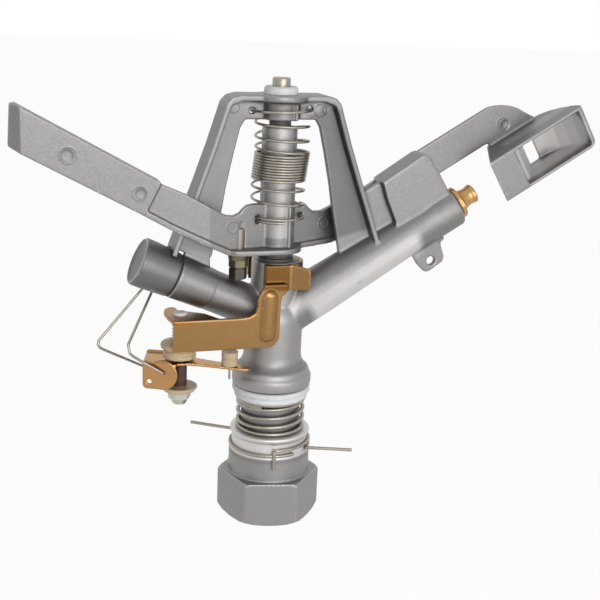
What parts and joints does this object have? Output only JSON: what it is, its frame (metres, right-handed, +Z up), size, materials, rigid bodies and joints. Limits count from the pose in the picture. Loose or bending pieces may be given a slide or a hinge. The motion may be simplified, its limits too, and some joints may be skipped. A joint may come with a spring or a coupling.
{
  "type": "impact sprinkler",
  "caption": "Large metal impact sprinkler: hexagon inlet, upward barrel with jet nozzle, capped rear barrel, bridge, spring-driven striking arm with vane, and part-circle trip gear.",
  "frame": {"origin": "centre of the inlet mouth, in the plane of the hexagon's lower face", "axes": "+Z up the rotation axis, +X along the main barrel, +Y to the rear side of the arm"},
  "size_m": [0.3222, 0.0555, 0.2439],
  "materials": {
    "cast": "fine sand-cast grey, satin",
    "bronze": "cast bronze, satin",
    "brass": "turned brass, satin",
    "steel": "stainless wire and turned steel",
    "white_plastic": "white low-friction plastic",
    "cream_plastic": "cream plastic",
    "dark_plastic": "dark low-friction plastic",
    "zinc_nut": "yellow passivated zinc",
    "black_rubber": "black rubber"
  },
  "bodies": {
    "base": {"inlet_base": "cast", "base_spring": "steel", "steel_washer": "steel", "washer_lower": "white_plastic", "washer_upper": "white_plastic"},
    "lower_collar": {"collar_low": "steel"},
    "upper_collar": {"collar_high": "steel"},
    "rotor": {"body": "cast", "bearing_sleeve": "cast", "sleeve_seal": "black_rubber", "sleeve_washer": "white_plastic", "main_nozzle": "brass", "nozzle_gasket": "black_rubber", "straightener": "white_plastic", "rear_cap": "cast", "cap_gasket": "black_rubber", "pivot_pin": "steel", "pin_washer": "white_plastic", "thrust_washer": "dark_plastic", "bracket": "bronze", "clamp_screw": "steel", "clamp_nut": "steel", "trip_stud": "steel", "trip_bush": "cream_plastic", "trip_sleeve": "cream_plastic", "trip_nut": "steel", "toggle_spring": "steel"},
    "striker": {"arm": "cast", "arm_bolt": "steel", "arm_nut": "zinc_nut", "bush_upper": "dark_plastic", "bush_lower": "dark_plastic", "arm_spring": "steel"},
    "lever": {"trip_lever": "bronze", "toggle_post": "cream_plastic", "toggle_pin": "steel"},
    "wire_bail": {"bail": "steel"}
  },
  "joints": [
    {"name": "rotor_turn", "type": "hinge", "parent": "base", "child": "rotor", "pos_m": [0, 0, 0.05], "axis": [0, 0, 1], "continuous": true},
    {"name": "lower_collar_turn", "type": "hinge", "parent": "base", "child": "lower_collar", "pos_m": [0, 0, 0.0412], "axis": [0, 0, 1], "range_deg": [-30, 120]},
    {"name": "upper_collar_turn", "type": "hinge", "parent": "base", "child": "upper_collar", "pos_m": [0, 0, 0.0443], "axis": [0, 0, 1], "range_deg": [-120, 30]},
    {"name": "arm_swing", "type": "hinge", "parent": "rotor", "child": "striker", "pos_m": [0, 0, 0.18], "axis": [0, 0, 1], "range_deg": [0, 70], "stiffness_Nm_per_rad": 0.2, "springref_deg": -20.05, "deforming": ["arm_spring"]},
    {"name": "trip_lever_turn", "type": "hinge", "parent": "rotor", "child": "lever", "pos_m": [-0.053, -0.006, 0.09], "axis": [0, 0, 1], "range_deg": [-8, 5]},
    {"name": "bail_swing", "type": "hinge", "parent": "lever", "child": "wire_bail", "pos_m": [-0.05912, -0.00353, 0.0905], "axis": [0.3746, 0.9272, 0], "range_deg": [-60, 0]}
  ]
}
